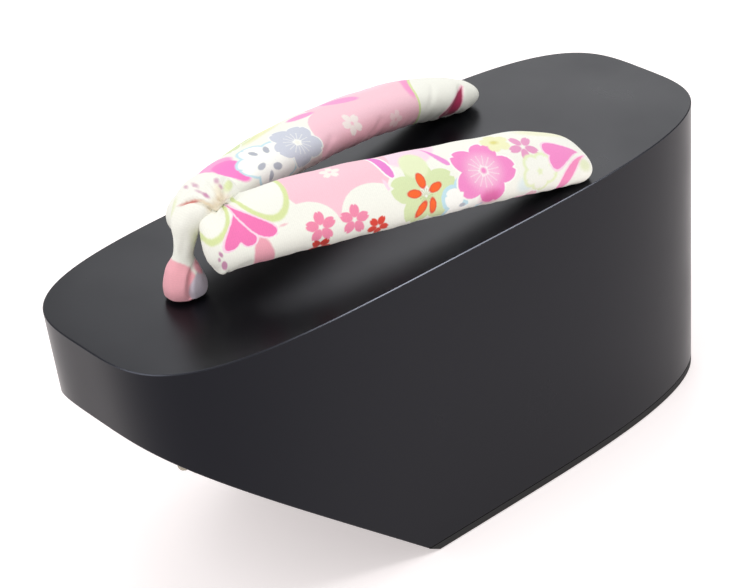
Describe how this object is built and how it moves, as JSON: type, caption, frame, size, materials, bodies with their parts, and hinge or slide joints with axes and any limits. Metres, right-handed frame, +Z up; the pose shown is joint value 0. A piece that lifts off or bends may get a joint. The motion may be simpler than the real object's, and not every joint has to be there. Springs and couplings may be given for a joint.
{
  "type": "okobo",
  "caption": "Tall lacquered wooden platform sandal with a slanted toe underside and a padded printed cloth thong.",
  "frame": {"origin": "on the ground under the middle of the sandal's length and width", "axes": "+Z up, toe towards -Y, heel towards +Y, +X towards the wearer's left"},
  "size_m": [0.091, 0.24, 0.1393],
  "materials": {
    "lacquered_wood": "satin black lacquer",
    "rubber_sheet": "matte",
    "printed_cloth": "padded crepe with a printed flower pattern",
    "cotton_cord": "twisted natural cord"
  },
  "bodies": {
    "root": {"block": "lacquered_wood", "outsole": "rubber_sheet", "straps": "printed_cloth", "toe_cord": "cotton_cord", "side_cord_left": "cotton_cord", "side_cord_right": "cotton_cord"}
  },
  "joints": []
}
